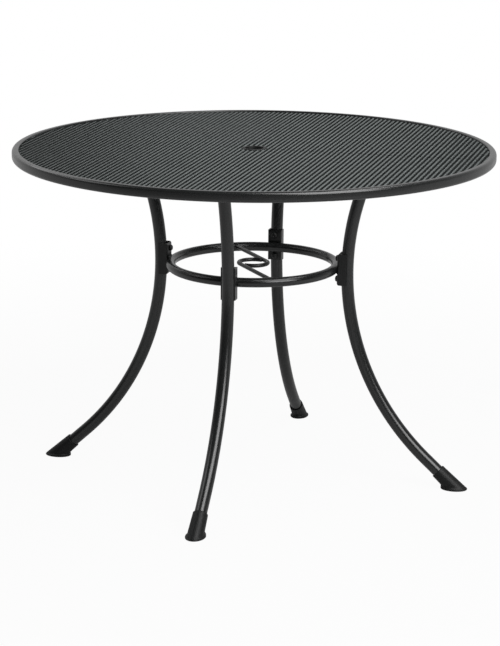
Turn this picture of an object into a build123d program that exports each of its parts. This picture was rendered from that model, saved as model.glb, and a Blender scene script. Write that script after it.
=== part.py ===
from build123d import *
import os
from math import acos, asin, ceil, degrees, radians, sin, sqrt, tan

# Round garden table: an expanded-metal top in a rolled rim, on four bowed tube legs.
# The legs are bolted to a ring at their waist, and the ring carries a wire holder for a parasol's pole.
# Millimetres. Origin on the floor under the middle of the top, +Z up, one leg on each of +X, +Y, -X and -Y.

# Overall sizes
TABLE_DIAMETER = 1050.0
TABLE_HEIGHT = 740.0

# Rim
RIM_WIDTH = 15.0
RIM_DEPTH = 22.0
RIM_WALL = 1.5
RIM_CORNER_WIDTH = 6.0
RIM_CORNER_DEPTH = 7.0
RIM_INNER_ROUND = 2.5

# Mesh panel: a coarse lattice of diamonds in place of the fine expanded metal
MESH_RECESS = 3.0
MESH_THICKNESS = 1.0
MESH_LONG_PITCH = 170.0
MESH_SHORT_PITCH = 85.0
MESH_STRAND = 16.0
MESH_BORDER = 12.0
MESH_LEAST_OPENING = 0.2

# Parasol collar, its flange seated on the hub, and the hub
POLE_BORE = 40.0
COLLAR_WALL = 2.0
COLLAR_FLANGE = 54.0
COLLAR_FLANGE_THICKNESS = 2.0
COLLAR_BELOW_HUB = 3.0
COLLAR_CLEARANCE = 0.5
HUB_WALL = 7.5

# Support bars under the mesh
BAR_WIDTH = 30.0
BAR_DEPTH = 15.0
BAR_WALL = 1.5

# Leg tubes, bent in one arc whose waist is nearest the table's axis, with a straight lower end
LEG_DIAMETER = 26.9
LEG_WALL = 1.5
WAIST_RADIUS = 212.0
WAIST_HEIGHT = 477.0
BOW_RADIUS = 557.0
STRAIGHT_HEIGHT = 65.0

# Plates on the legs' upper ends
PLATE_LENGTH = 100.0
PLATE_WIDTH = 36.0
PLATE_THICKNESS = 4.0
PLATE_CORNER = 8.0
PLATE_BOLT_SPACING = 72.0

# Ring stretcher
RING_DIAMETER = 20.6
RING_WALL = 1.5
RING_HEIGHT = 479.0
RING_WELD_BITE = 0.8

# Saddles: channels that grip the legs' inner side, their flat web towards the ring
SADDLE_WEB = 3.0
SADDLE_FLANGE = 2.8
SADDLE_STANDOFF = 4.0
SADDLE_GRIP = 0.3
SADDLE_WRAP = 1.5
SADDLE_HEIGHT = 70.0
SADDLE_CORNER = 6.0
SADDLE_BEND = 4.0
SADDLE_RISE = 2.0
SADDLE_BOLT_SPACING = 46.0

# Bolts, washers, nuts and inserts
BOLT_DIAMETER = 6.0
BOLT_HEAD_DIAMETER = 11.0
BOLT_HEAD_HEIGHT = 3.5
BOLT_HEAD_ROUND = 2.5
BOLT_CLEARANCE = 0.3
THREAD_CLEARANCE = 0.05
BOLT_END = 1.0
WASHER_DIAMETER = 14.0
WASHER_THICKNESS = 1.5
NUT_ACROSS_FLATS = 10.0
NUT_HEIGHT = 5.0
INSERT_DIAMETER = 9.0
INSERT_LENGTH = 12.0

# Wire holder: two hooked rods that close round the pole
ROD_DIAMETER = 8.0
ROD_RISE = 3.0
LOOP_RADIUS = 32.0
ROD_ANGLE = 38.0
ROD_GAP = 0.5

# Foot boots
BOOT_FLOOR = 5.0
BOOT_LENGTH = 50.0
BOOT_TOP_DIAMETER = 29.6
BOOT_FOOT_DIAMETER = 34.0
BOOT_CLEARANCE = 0.15
BOOT_LIP_LENGTH = 56.0
BOOT_LIP_WIDTH = 42.0
BOOT_LIP_HEIGHT = 8.0
BOOT_LIP_ROUND = 3.5
BOOT_HEEL_SHIFT = 4.0

# How far a cutting or overlong shape reaches past what it trims
PAST = 20.0

# Sizes that follow
RIM_RADIUS = TABLE_DIAMETER / 2
RIM_INSIDE = RIM_RADIUS - RIM_WIDTH
MESH_TOP = TABLE_HEIGHT - MESH_RECESS
BAR_TOP = MESH_TOP - MESH_THICKNESS
BAR_BOTTOM = BAR_TOP - BAR_DEPTH
LEG_TOP = BAR_BOTTOM - PLATE_THICKNESS
COLLAR_RADIUS = POLE_BORE / 2 + COLLAR_WALL
HUB_BORE = COLLAR_RADIUS + COLLAR_CLEARANCE
HUB_RADIUS = HUB_BORE + HUB_WALL
LEG_RADIUS = LEG_DIAMETER / 2
SADDLE_REACH = LEG_RADIUS + SADDLE_STANDOFF + SADDLE_WEB
SADDLE_INSIDE = LEG_DIAMETER - 2 * SADDLE_GRIP
SADDLE_WIDTH = SADDLE_INSIDE + 2 * SADDLE_FLANGE
BOW_CENTRE = WAIST_RADIUS + BOW_RADIUS
SIDES = ("right", "back", "left", "front")


def leg_angle(height):
    """Angle along the bow at which the leg's centreline is at a height."""
    return degrees(asin((height - WAIST_HEIGHT) / BOW_RADIUS))


def leg_reach(height):
    """Distance from the table's axis to the leg's centreline at a height."""
    return BOW_CENTRE - sqrt(BOW_RADIUS**2 - (height - WAIST_HEIGHT) ** 2)


BOW_AXIS = Axis((BOW_CENTRE, 0, WAIST_HEIGHT), (0, 1, 0))
PLATE_REACH = leg_reach(LEG_TOP)
SADDLE_ANGLE = leg_angle(RING_HEIGHT + SADDLE_RISE)
SADDLE_SPAN = degrees(SADDLE_HEIGHT / BOW_RADIUS)
FOOT_ANGLE = leg_angle(STRAIGHT_HEIGHT)
FOOT_SLOPE = radians(90 + FOOT_ANGLE)
FOOT_DROP = STRAIGHT_HEIGHT / sin(FOOT_SLOPE)
FOOT_REACH = leg_reach(STRAIGHT_HEIGHT) + STRAIGHT_HEIGHT / tan(FOOT_SLOPE)
RING_RADIUS = leg_reach(RING_HEIGHT) - SADDLE_REACH - RING_DIAMETER / 2 + RING_WELD_BITE
BOLT_RADIUS = BOLT_DIAMETER / 2


def along_bow(shape, angle):
    """Carry a shape made at the leg's waist to an angle along the bow."""
    return shape.rotate(BOW_AXIS, angle)


def bowed(section, low, high):
    """Sweep a section, drawn at the waist, along the bow between two angles."""
    placed = Plane((WAIST_RADIUS, 0, WAIST_HEIGHT)) * section
    return along_bow(revolve(placed, BOW_AXIS, high - low), low)


def slab(low, high):
    """A block wider than the table and its feet between two heights."""
    width = TABLE_DIAMETER + 2 * FOOT_REACH
    return Pos(0, 0, (low + high) / 2) * Box(width, width, high - low)


def turned(shape, step):
    """Turn a shape from the +X leg to another leg."""
    return shape.rotate(Axis.Z, 90 * step)


def upright(radius, low, high):
    """An upright cylinder on the table's axis."""
    return Pos(0, 0, low) * Cylinder(radius, high - low, align=(Align.CENTER, Align.CENTER, Align.MIN))


def spun(outline):
    """Revolve an outline, drawn in X and height, about the table's axis."""
    return revolve(Plane.XZ * outline, Axis.Z)


def button_bolt(length):
    """A bolt whose head stands on Z = 0 and whose shank points up."""
    head = Cylinder(BOLT_HEAD_DIAMETER / 2, BOLT_HEAD_HEIGHT, align=(Align.CENTER, Align.CENTER, Align.MAX))
    head = fillet(head.edges().group_by(Axis.Z)[0], BOLT_HEAD_ROUND)
    return head + Cylinder(BOLT_RADIUS, length, align=(Align.CENTER, Align.CENTER, Align.MIN))


def facing_saddle(shape):
    """Turn shapes that point up so that they point from the table's axis into a leg, at both saddle bolts."""
    half = SADDLE_BOLT_SPACING / 2
    spots = [Pos(WAIST_RADIUS, 0, WAIST_HEIGHT + shift) * Rot(0, 90, 0) for shift in (-half, half)]
    return [along_bow(spot * shape, SADDLE_ANGLE) for spot in spots]


def below_bend(section, length):
    """Extrude a section down the leg's straight end, from the end of the bend."""
    at_waist = extrude(Plane((WAIST_RADIUS, 0, WAIST_HEIGHT)) * section, -length)
    return along_bow(at_waist, FOOT_ANGLE)


def leg_shape(section):
    """Sweep a section along the bow and its straight end, past the floor and the leg's top."""
    bow = bowed(section, FOOT_ANGLE, leg_angle(LEG_TOP + PAST))
    return bow + below_bend(section, FOOT_DROP + PAST)


# Top
def rim_outline(inset):
    """The rim's section, a distance inside its surface: soft oval corners outside, small round ones inside."""
    width, depth = RIM_CORNER_WIDTH - inset, RIM_CORNER_DEPTH - inset
    inside, outside = RIM_INSIDE + inset, RIM_RADIUS - inset
    low, top = TABLE_HEIGHT - RIM_DEPTH + inset, TABLE_HEIGHT - inset
    middle = outside - width
    outline = make_face([
        Line((middle, top), (inside, top)),
        Line((inside, top), (inside, low)),
        Line((inside, low), (middle, low)),
        EllipticalCenterArc((middle, low + depth), width, depth, 270, arc_size=90),
        Line((outside, low + depth), (outside, top - depth)),
        EllipticalCenterArc((middle, top - depth), width, depth, 0, arc_size=90),
    ])
    return fillet(outline.vertices().group_by(Axis.X)[0], RIM_INNER_ROUND - inset)


def make_rim():
    return spun(rim_outline(0) - rim_outline(RIM_WALL))


def mesh_openings(inside, outside):
    """Staggered diamonds, trimmed to a field between two radii, without the smallest scraps."""
    half_length, half_width = MESH_LONG_PITCH / 2, MESH_SHORT_PITCH / 2
    to_side = half_length * half_width / sqrt(half_length**2 + half_width**2)
    share = 1 - MESH_STRAND / 2 / to_side
    tip, flank = share * half_length, share * half_width
    diamond = Polygon((tip, 0), (0, flank), (-tip, 0), (0, -flank))
    field = Circle(outside) - Circle(inside)
    columns, ranks = (2 * ceil(outside / pitch) + 1 for pitch in (MESH_LONG_PITCH, MESH_SHORT_PITCH))
    rows = list(GridLocations(MESH_LONG_PITCH, MESH_SHORT_PITCH, columns, ranks))
    staggered = [spot * Pos(half_length, half_width) for spot in rows]
    trimmed = [(spot * diamond) & field for spot in rows + staggered]
    faces = [face for opening in trimmed if opening for face in opening.faces()]
    return [face for face in faces if face.area > MESH_LEAST_OPENING * diamond.area]


def make_mesh_panel():
    hole = COLLAR_FLANGE / 2 + COLLAR_CLEARANCE
    panel = Circle(RIM_INSIDE) - Circle(hole)
    panel -= mesh_openings(hole + MESH_BORDER, RIM_INSIDE - MESH_BORDER)
    return extrude(Pos(0, 0, BAR_TOP) * panel, MESH_THICKNESS)


def make_collar():
    flange = upright(COLLAR_FLANGE / 2, BAR_TOP, BAR_TOP + COLLAR_FLANGE_THICKNESS)
    flange = fillet(flange.edges().group_by(Axis.Z)[-1], COLLAR_FLANGE_THICKNESS / 2)
    sleeve = upright(COLLAR_RADIUS, BAR_BOTTOM - COLLAR_BELOW_HUB, BAR_TOP)
    return flange + sleeve - upright(POLE_BORE / 2, BAR_BOTTOM - PAST, MESH_TOP + PAST)


def make_hub():
    return upright(HUB_RADIUS, BAR_BOTTOM, BAR_TOP) - upright(HUB_BORE, BAR_BOTTOM - PAST, BAR_TOP + PAST)


def plate_bolt_spots():
    """Places of one plate's two bolts, at the underside of the plate."""
    half = PLATE_BOLT_SPACING / 2
    return [Pos(PLATE_REACH + shift, 0, LEG_TOP) for shift in (-half, half)]


def make_bar():
    section = Rectangle(BAR_WIDTH, BAR_DEPTH)
    section -= Rectangle(BAR_WIDTH - 2 * BAR_WALL, BAR_DEPTH - 2 * BAR_WALL)
    across = Plane((0, 0, BAR_TOP - BAR_DEPTH / 2), x_dir=(0, 1, 0), z_dir=(1, 0, 0))
    bar = extrude(across * section, RIM_RADIUS)
    bar &= upright(RIM_INSIDE, BAR_BOTTOM - PAST, BAR_TOP + PAST)
    bar -= upright(HUB_RADIUS, BAR_BOTTOM - PAST, BAR_TOP + PAST)
    for spot in plate_bolt_spots():
        bar -= spot * Pos(0, 0, PLATE_THICKNESS) * Cylinder(BOLT_RADIUS + BOLT_CLEARANCE, 2 * BAR_WALL)
    return bar


# Legs and what is fixed to them
def make_plate():
    plate = extrude(Pos(PLATE_REACH, 0, LEG_TOP) * RectangleRounded(PLATE_LENGTH, PLATE_WIDTH, PLATE_CORNER),
                    PLATE_THICKNESS)
    for spot in plate_bolt_spots():
        plate -= spot * Cylinder(BOLT_RADIUS + BOLT_CLEARANCE, 2 * PLATE_THICKNESS + PAST)
    return plate


def make_plate_bolts():
    length = PLATE_THICKNESS + BAR_WALL + NUT_HEIGHT + BOLT_END
    return [spot * button_bolt(length) for spot in plate_bolt_spots()]


def make_weld_nuts():
    nut = extrude(RegularPolygon(NUT_ACROSS_FLATS / 2, 6, major_radius=False), NUT_HEIGHT)
    nut -= Cylinder(BOLT_RADIUS + THREAD_CLEARANCE, 2 * NUT_HEIGHT + PAST)
    return [spot * Pos(0, 0, PLATE_THICKNESS + BAR_WALL) * nut for spot in plate_bolt_spots()]


def make_leg():
    leg = leg_shape(Circle(LEG_RADIUS) - Circle(LEG_RADIUS - LEG_WALL)) & slab(BOOT_FLOOR, LEG_TOP)
    insert_hole = Pos(0, 0, -LEG_RADIUS) * Cylinder(INSERT_DIAMETER / 2, LEG_RADIUS)
    return leg - facing_saddle(insert_hole)


def saddle_block():
    """The saddle's outside: its side outline and its plan outline, both rounded at the web."""
    length = SADDLE_REACH + SADDLE_WRAP
    middle = (SADDLE_WRAP - SADDLE_REACH) / 2
    side = Pos(middle, 0) * Rectangle(length, SADDLE_HEIGHT)
    side = fillet(side.vertices().group_by(Axis.X)[0], SADDLE_CORNER)
    plan = Pos(middle, 0) * Rectangle(length, SADDLE_WIDTH)
    plan = fillet(plan.vertices().group_by(Axis.X)[0], SADDLE_BEND)
    block = extrude(Plane.XZ * side, SADDLE_WIDTH, both=True) & extrude(plan, SADDLE_HEIGHT, both=True)
    return along_bow(Pos(WAIST_RADIUS, 0, WAIST_HEIGHT) * block, SADDLE_ANGLE)


def make_saddle():
    depth = SADDLE_REACH - SADDLE_WEB + PAST
    block = Box(depth, SADDLE_INSIDE, SADDLE_HEIGHT + PAST)
    channel = Pos(SADDLE_WEB - SADDLE_REACH + depth / 2, 0, 0) * block
    channel = along_bow(Pos(WAIST_RADIUS, 0, WAIST_HEIGHT) * channel, SADDLE_ANGLE)
    tube = bowed(Circle(LEG_RADIUS), SADDLE_ANGLE - SADDLE_SPAN, SADDLE_ANGLE + SADDLE_SPAN)
    hole = Pos(0, 0, -SADDLE_REACH) * Cylinder(BOLT_RADIUS + BOLT_CLEARANCE, SADDLE_REACH)
    return saddle_block() - channel - tube - facing_saddle(hole)


def make_washers():
    washer = extrude(Circle(WASHER_DIAMETER / 2) - Circle(BOLT_RADIUS + BOLT_CLEARANCE), -WASHER_THICKNESS)
    return facing_saddle(Pos(0, 0, -SADDLE_REACH) * washer)


def make_saddle_bolts():
    seat = SADDLE_REACH + WASHER_THICKNESS
    return facing_saddle(Pos(0, 0, -seat) * button_bolt(seat - LEG_RADIUS + INSERT_LENGTH))


def make_inserts():
    insert = extrude(Circle(INSERT_DIAMETER / 2) - Circle(BOLT_RADIUS + THREAD_CLEARANCE), INSERT_LENGTH)
    tube = bowed(Circle(LEG_RADIUS), SADDLE_ANGLE - SADDLE_SPAN, SADDLE_ANGLE + SADDLE_SPAN)
    return [piece & tube for piece in facing_saddle(Pos(0, 0, -LEG_RADIUS) * insert)]


def make_boot():
    cone = Cone(BOOT_FOOT_DIAMETER / 2, BOOT_TOP_DIAMETER / 2, BOOT_LENGTH + PAST,
                align=(Align.CENTER, Align.CENTER, Align.MIN))
    cone = along_bow(Pos(WAIST_RADIUS, 0, WAIST_HEIGHT - FOOT_DROP - PAST) * cone, FOOT_ANGLE)
    lip = Pos(FOOT_REACH - BOOT_HEEL_SHIFT, 0, 0) * Ellipse(BOOT_LIP_LENGTH / 2, BOOT_LIP_WIDTH / 2)
    lip = extrude(lip, BOOT_LIP_HEIGHT)
    lip = fillet(lip.edges().group_by(Axis.Z)[-1], BOOT_LIP_ROUND)
    boot = (cone & slab(0, TABLE_HEIGHT)) + lip
    bore = below_bend(Circle(LEG_RADIUS + BOOT_CLEARANCE), FOOT_DROP + PAST)
    return boot - (bore & slab(BOOT_FLOOR, TABLE_HEIGHT))


# Ring and wire holder
def make_ring():
    section = Circle(RING_DIAMETER / 2) - Circle(RING_DIAMETER / 2 - RING_WALL)
    ring = spun(Pos(RING_RADIUS, RING_HEIGHT) * section)
    return ring - [turned(saddle_block(), step) for step in range(len(SIDES))]


def make_rod():
    height = RING_HEIGHT + ROD_RISE
    far_side = LOOP_RADIUS - ROD_DIAMETER / 2 - ROD_GAP
    sweep_angle = degrees(acos(-far_side / (LOOP_RADIUS + ROD_DIAMETER / 2)))
    wire = Circle(ROD_DIAMETER / 2)
    start = Plane((LOOP_RADIUS, 0, height), x_dir=(1, 0, 0), z_dir=(0, 1, 0))
    straight = extrude(start * wire, RING_RADIUS)
    straight -= spun(Pos(RING_RADIUS, RING_HEIGHT) * Circle(RING_DIAMETER / 2))
    straight = straight.solids().sort_by(Axis.Y)[0]
    hook = revolve(start * wire, Axis.Z, -sweep_angle)
    return (straight + hook).rotate(Axis.Z, ROD_ANGLE)


# Every node and its solids
def all_sides(solids):
    """Repeat a leg's solids at every leg."""
    return [turned(solid, step) for step in range(len(SIDES)) for solid in solids]


nodes = {
    "top_rim": [make_rim()],
    "mesh_panel": [make_mesh_panel()],
    "parasol_collar": [make_collar()],
    "centre_hub": [make_hub()],
    "leg_plate_bolts": all_sides(make_plate_bolts()),
    "bar_weld_nuts": all_sides(make_weld_nuts()),
    "ring_stretcher": [make_ring()],
    "saddle_bolts": all_sides(make_saddle_bolts()),
    "saddle_washers": all_sides(make_washers()),
    "leg_inserts": all_sides(make_inserts()),
}
one_a_leg = {
    "support_bar": make_bar(),
    "leg_plate": make_plate(),
    "leg": make_leg(),
    "saddle": make_saddle(),
    "foot_boot": make_boot(),
}
for name, shape in one_a_leg.items():
    for step, side in enumerate(SIDES):
        nodes[f"{name}_{side}"] = [turned(shape, step)]
rod = make_rod()
for step, name in enumerate(("holder_rod_back", "holder_rod_front")):
    nodes[name] = [turned(rod, 2 * step)]

os.makedirs("parts", exist_ok=True)
for name, solids in nodes.items():
    pieces = [piece for solid in solids for piece in solid.solids()]
    export_step(pieces[0] if len(pieces) == 1 else Compound(pieces), f"parts/{name}.step")
print(len(nodes), "nodes, ring radius", round(RING_RADIUS, 2), "plate reach", round(PLATE_REACH, 2))
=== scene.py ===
# %% [markdown]
# # A round garden table with an expanded-metal top
# The table has a mesh disc in a rolled rim, four bowed tube legs, a ring that ties the legs at their waist,
# a wire holder for a parasol's pole and plastic boots on the feet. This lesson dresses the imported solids:
# what repeats or follows a rule is grown with Geometry Nodes, the rest is mesh code, and every finish is a
# node material. Lengths are metres, and Z is up from the floor.

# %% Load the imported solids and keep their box
from math import acos, asin, atan2, cos, degrees, pi, radians, sin, sqrt

import bmesh
import bpy
from mathutils import Matrix, Vector


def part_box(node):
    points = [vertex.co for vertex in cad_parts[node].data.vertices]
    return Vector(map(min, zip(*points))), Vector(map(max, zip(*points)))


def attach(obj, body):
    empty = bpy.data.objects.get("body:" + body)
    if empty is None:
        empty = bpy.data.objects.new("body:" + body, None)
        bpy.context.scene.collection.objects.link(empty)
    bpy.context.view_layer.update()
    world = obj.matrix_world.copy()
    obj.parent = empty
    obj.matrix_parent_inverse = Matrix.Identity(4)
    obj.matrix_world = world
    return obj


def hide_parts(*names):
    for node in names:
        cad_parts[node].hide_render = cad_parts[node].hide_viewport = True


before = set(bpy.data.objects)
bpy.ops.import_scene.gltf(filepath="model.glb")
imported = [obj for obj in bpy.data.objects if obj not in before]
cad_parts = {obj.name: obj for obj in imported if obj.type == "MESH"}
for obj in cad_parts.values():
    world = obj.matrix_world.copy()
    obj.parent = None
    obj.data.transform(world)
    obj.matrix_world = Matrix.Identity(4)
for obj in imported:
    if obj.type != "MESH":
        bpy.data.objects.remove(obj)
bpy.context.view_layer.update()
SIDES = ("right", "back", "left", "front")

# %% [markdown]
# ## Finishes
# The frame is steel under a satin iron-grey powder coat. Such a coat is never a flat colour: the powder melts
# into a faint orange-peel skin a millimetre or two across, and its tone drifts a little from place to place.
# Two noises on Object coordinates give that, one for tone and gloss, one for the peel's bump. Object
# coordinates are used because every piece keeps its place in its mesh, so the grain has one scale everywhere.

# %% A finish with a drifting tone and a fine peel
DRIFT_DETAIL, PEEL_DETAIL, PEEL_ROUGHNESS, PEEL_STRENGTH = 4.0, 3.0, 0.55, 0.7


def node(tree, kind, inputs=None, **settings):
    """Add a node, set its properties, then set or link its inputs."""
    made = tree.nodes.new(kind)
    for name, value in settings.items():
        setattr(made, name, value)
    for key, value in (inputs or {}).items():
        if isinstance(value, bpy.types.NodeSocket):
            tree.links.new(value, made.inputs[key])
        else:
            made.inputs[key].default_value = value
    return made


def ramp(tree, value, span, result):
    """A Map Range node's result: the span is carried to the result and held at both ends."""
    made = node(tree, "ShaderNodeMapRange", {
        "Value": value, "From Min": span[0], "From Max": span[1], "To Min": result[0], "To Max": result[1]})
    return made.outputs["Result"]


def speckled(name, dark, light, gloss, drift_scale, peel_scale, peel_depth, **fixed):
    """A finish between two tones and two roughnesses; fixed holds what is the same all over."""
    made = bpy.data.materials.new(name)
    made.use_nodes = True
    tree = made.node_tree
    shader = tree.nodes["Principled BSDF"]
    place = node(tree, "ShaderNodeTexCoord").outputs["Object"]
    drift = node(tree, "ShaderNodeTexNoise", {"Vector": place, "Scale": drift_scale, "Detail": DRIFT_DETAIL})
    tone = node(tree, "ShaderNodeMix", {"Factor": drift.outputs["Fac"]}, data_type="RGBA")
    tone.inputs["A"].default_value = (*dark, 1.0)
    tone.inputs["B"].default_value = (*light, 1.0)
    peel = node(tree, "ShaderNodeTexNoise", {
        "Vector": place, "Scale": peel_scale, "Detail": PEEL_DETAIL, "Roughness": PEEL_ROUGHNESS})
    bump = node(tree, "ShaderNodeBump", {
        "Height": peel.outputs["Fac"], "Strength": PEEL_STRENGTH, "Distance": peel_depth})
    tree.links.new(tone.outputs["Result"], shader.inputs["Base Color"])
    tree.links.new(ramp(tree, drift.outputs["Fac"], (0.0, 1.0), gloss), shader.inputs["Roughness"])
    tree.links.new(bump.outputs["Normal"], shader.inputs["Normal"])
    for socket, value in fixed.items():
        shader.inputs[socket.replace("_", " ")].default_value = value
    return made


iron_coat = speckled(
    "satin_iron_coat", (0.0078, 0.0083, 0.0083), (0.0105, 0.0112, 0.0112), (0.20, 0.27),
    drift_scale=35.0, peel_scale=620.0, peel_depth=0.00005)
print(iron_coat.name, len(iron_coat.node_tree.nodes), "nodes")

# %% [markdown]
# ## The other finishes
# The mesh has the same coat a shade greener and glossier, and the weld beads a rougher one. Brackets, bolts
# and holder rods look nearly black where they sit in shade, so they get a darker copy of the coat that
# reflects
# less: painted shade. The boots and the collar are matt black plastic, and the hidden nuts and inserts are
# zinc.
# Pieces of the CAD model that are right as they are, such as brackets, plates and bars, keep their shape and
# only get their finish here.

# %% Coats, plastic and zinc
mesh_coat = speckled(
    "satin_mesh_coat", (0.0085, 0.0095, 0.0094), (0.0115, 0.0128, 0.0127), (0.19, 0.25),
    drift_scale=30.0, peel_scale=900.0, peel_depth=0.00003, Specular_Tint=(0.90, 1.0, 0.985, 1.0))
weld_coat = speckled(
    "satin_weld_coat", (0.0095, 0.0102, 0.0102), (0.0130, 0.0140, 0.0140), (0.26, 0.40),
    drift_scale=120.0, peel_scale=900.0, peel_depth=0.0001)
# A darker, less reflective copy of the iron coat: painted shade for the brackets, bolts and rods.
shade_darkened_coat = speckled(
    "painted_shade_bracket_coat", (0.0050, 0.0053, 0.0053), (0.0070, 0.0074, 0.0074), (0.27, 0.35),
    drift_scale=35.0, peel_scale=620.0, peel_depth=0.00005, Specular_IOR_Level=0.36)
boot_plastic = speckled(
    "moulded_black_plastic", (0.0045, 0.0048, 0.0048), (0.0068, 0.0072, 0.0072), (0.44, 0.54),
    drift_scale=60.0, peel_scale=1500.0, peel_depth=0.00006, Specular_IOR_Level=0.22)
zinc = speckled(
    "dark_zinc", (0.070, 0.071, 0.073), (0.110, 0.112, 0.115), (0.30, 0.46),
    drift_scale=260.0, peel_scale=1800.0, peel_depth=0.00003, Metallic=1.0)
# The saddles take the darker coat with its painted shade.
NODE_FINISH = {"foot_boot": boot_plastic, "saddle": shade_darkened_coat, "leg_inserts": zinc, "bar_weld_nuts": zinc}
for name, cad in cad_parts.items():
    finish = next((made for start, made in NODE_FINISH.items() if name.startswith(start)), iron_coat)
    cad.data.materials.clear()
    cad.data.materials.append(finish)
finishes = (iron_coat, mesh_coat, weld_coat, shade_darkened_coat, boot_plastic, zinc)
print("finishes:", [made.name for made in finishes])

# %% [markdown]
# ## Growing pieces with Geometry Nodes
# A tree is a recipe with named inputs, so one tree can serve pieces of several sizes. The first helpers open
# a tree, do sums in it and end it with real geometry and its finish. The next ones fill a modifier's inputs
# by their sockets' identifiers and keep the result as a plain mesh object at the origin, because the export
# takes meshes and not modifiers, and seat it on the table.

# %% Open a tree, do sums in it and end it
def open_tree(title, **inputs):
    """A tree with geometry in and out and inputs named by kind: the tree, its input sockets, its end."""
    tree = bpy.data.node_groups.new(title, "GeometryNodeTree")
    tree.interface.new_socket("Geometry", in_out="INPUT", socket_type="NodeSocketGeometry")
    for kind, names in inputs.items():
        for name in names:
            tree.interface.new_socket(name, in_out="INPUT", socket_type="NodeSocket" + kind)
    tree.interface.new_socket("Geometry", in_out="OUTPUT", socket_type="NodeSocketGeometry")
    start = tree.nodes.new("NodeGroupInput")
    end = tree.nodes.new("NodeGroupOutput")
    return tree, {socket.name: socket for socket in start.outputs if socket.name}, end


def calc(tree, operation, a, b=None, c=None):
    """A Math node's result."""
    made = tree.nodes.new("ShaderNodeMath")
    made.operation = operation
    for slot, value in zip(made.inputs, (a, b, c)):
        if isinstance(value, bpy.types.NodeSocket):
            tree.links.new(value, slot)
        elif value is not None:
            slot.default_value = value
    return made.outputs[0]


def close_tree(tree, geometry, material, end):
    """End a tree with real geometry and its finish."""
    real = node(tree, "GeometryNodeRealizeInstances", {"Geometry": geometry})
    painted = node(tree, "GeometryNodeSetMaterial", {"Geometry": real.outputs[0], "Material": material})
    tree.links.new(painted.outputs[0], end.inputs[0])


print("made the helpers open_tree, calc and close_tree")

# %% Run a tree, keep its result and seat it
def add_object(name, data):
    """Link a new object to the scene."""
    made = bpy.data.objects.new(name, data)
    bpy.context.scene.collection.objects.link(made)
    return made


def facing_out(data):
    """Turn a mesh's faces outwards if they point inwards."""
    work = bmesh.new()
    work.from_mesh(data)
    if work.calc_volume(signed=True) < 0:
        bmesh.ops.reverse_faces(work, faces=work.faces)
        work.to_mesh(data)
    work.free()
    return data


def grown(name, tree, values, base=None):
    """Run a tree on a base mesh and keep the result as a plain mesh object."""
    holder = add_object(name + "_holder", base or bpy.data.meshes.new(name + "_base"))
    modifier = holder.modifiers.new("grow", "NODES")
    modifier.node_group = tree
    for item in tree.interface.items_tree:
        if item.in_out == "INPUT" and item.name in values:
            modifier[item.identifier] = values[item.name]
    bpy.context.view_layer.update()
    evaluated = holder.evaluated_get(bpy.context.evaluated_depsgraph_get())
    data = bpy.data.meshes.new_from_object(evaluated)
    data.name = name
    holder.modifiers.remove(modifier)
    bpy.data.objects.remove(holder)
    return add_object(name, facing_out(data))


def seat(piece, slot_name, *nodes):
    """Let a finished piece ride with the table and hide the nodes it stands for; the slot name is not used.
    """
    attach(piece, "root")
    if nodes:
        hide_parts(*nodes)
    return piece


def triangles(piece):
    """How many triangles a mesh object has."""
    return sum(len(face.vertices) - 2 for face in piece.data.polygons)


print("made the helpers add_object, facing_out, grown, seat and triangles")

# %% [markdown]
# ## The expanded-metal top
# Expanded metal is a sheet that is slit in staggered rows and pulled open. What is left is a lattice of
# diamonds: at each knot two strands lie side by side, and between knots each strand runs to the next row.
# The cut also tips every knot, so the strands stand like louvres. It could be painted on a disc with a
# transparent texture, but from a low angle the top is all strand sides, and only real geometry shows the
# stripes of knots that run from front to back. So one knot with its four half strands is made as a mesh,
# and a tree repeats it.

# %% One knot with four half strands
LONG_WAY, SHORT_WAY = 0.0214, 0.0082
STRAND_WIDTH, STRAND_THICKNESS, STRAND_EDGE = 0.0018, 0.0010, 0.0003
KNOT_LENGTH, KNOT_TILT = 0.0062, radians(34)
SAME_PLACE = 1e-6


def kept_mesh(name, made, finish):
    """A worked mesh as mesh data with its finish."""
    data = bpy.data.meshes.new(name)
    made.to_mesh(data)
    made.free()
    data.materials.append(finish)
    return data


def knot_mesh():
    """Two strips that share a wall along the knot and part on either side of it."""
    along_width = Vector((0, cos(KNOT_TILT), sin(KNOT_TILT)))
    normal = Vector((0, -sin(KNOT_TILT), cos(KNOT_TILT)))
    half, thick = STRAND_WIDTH / 2, STRAND_THICKNESS / 2
    made = bmesh.new()

    def section(centre, side, joined):
        """Six corners of a strand, with a square wall where it meets its neighbour."""
        free = half - STRAND_EDGE
        flat = half if joined else free
        spots = [(-side * half, 0), (-side * flat, thick), (side * free, thick),
                 (side * half, 0), (side * free, -thick), (-side * flat, -thick)]
        return [made.verts.new(centre + along_width * a + normal * b) for a, b in spots]

    for side in (1, -1):
        knot = along_width * (side * half)
        mid = Vector((0, side * SHORT_WAY / 4, 0))
        stations = [
            section(mid + Vector((-LONG_WAY / 4, 0, 0)), side, False),
            section(knot + Vector((-KNOT_LENGTH / 2, 0, 0)), side, True),
            section(knot + Vector((KNOT_LENGTH / 2, 0, 0)), side, True),
            section(mid + Vector((LONG_WAY / 4, 0, 0)), side, False),
        ]
        for step in range(3):
            a, b = stations[step], stations[step + 1]
            for k in range(6):
                shared_wall = step == 1 and k in (0, 5)
                if not shared_wall:
                    made.faces.new((a[k], b[k], b[(k + 1) % 6], a[(k + 1) % 6]))
    bmesh.ops.remove_doubles(made, verts=made.verts, dist=SAME_PLACE)
    bmesh.ops.recalc_face_normals(made, faces=made.faces)
    return kept_mesh("knot", made, mesh_coat)


knot = add_object("knot", knot_mesh())
print("knot:", len(knot.data.polygons), "faces")

# %% [markdown]
# ## The tree of the lattice
# The knots could be placed by a loop in Python, but a tree does it with a few nodes and stays easy to change.
# The first part makes the two grids. The second keeps the spots of one sector and sets a knot on each. The
# third drops what lies wholly outside the disc and pulls what crosses its edge back onto the edge.

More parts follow.
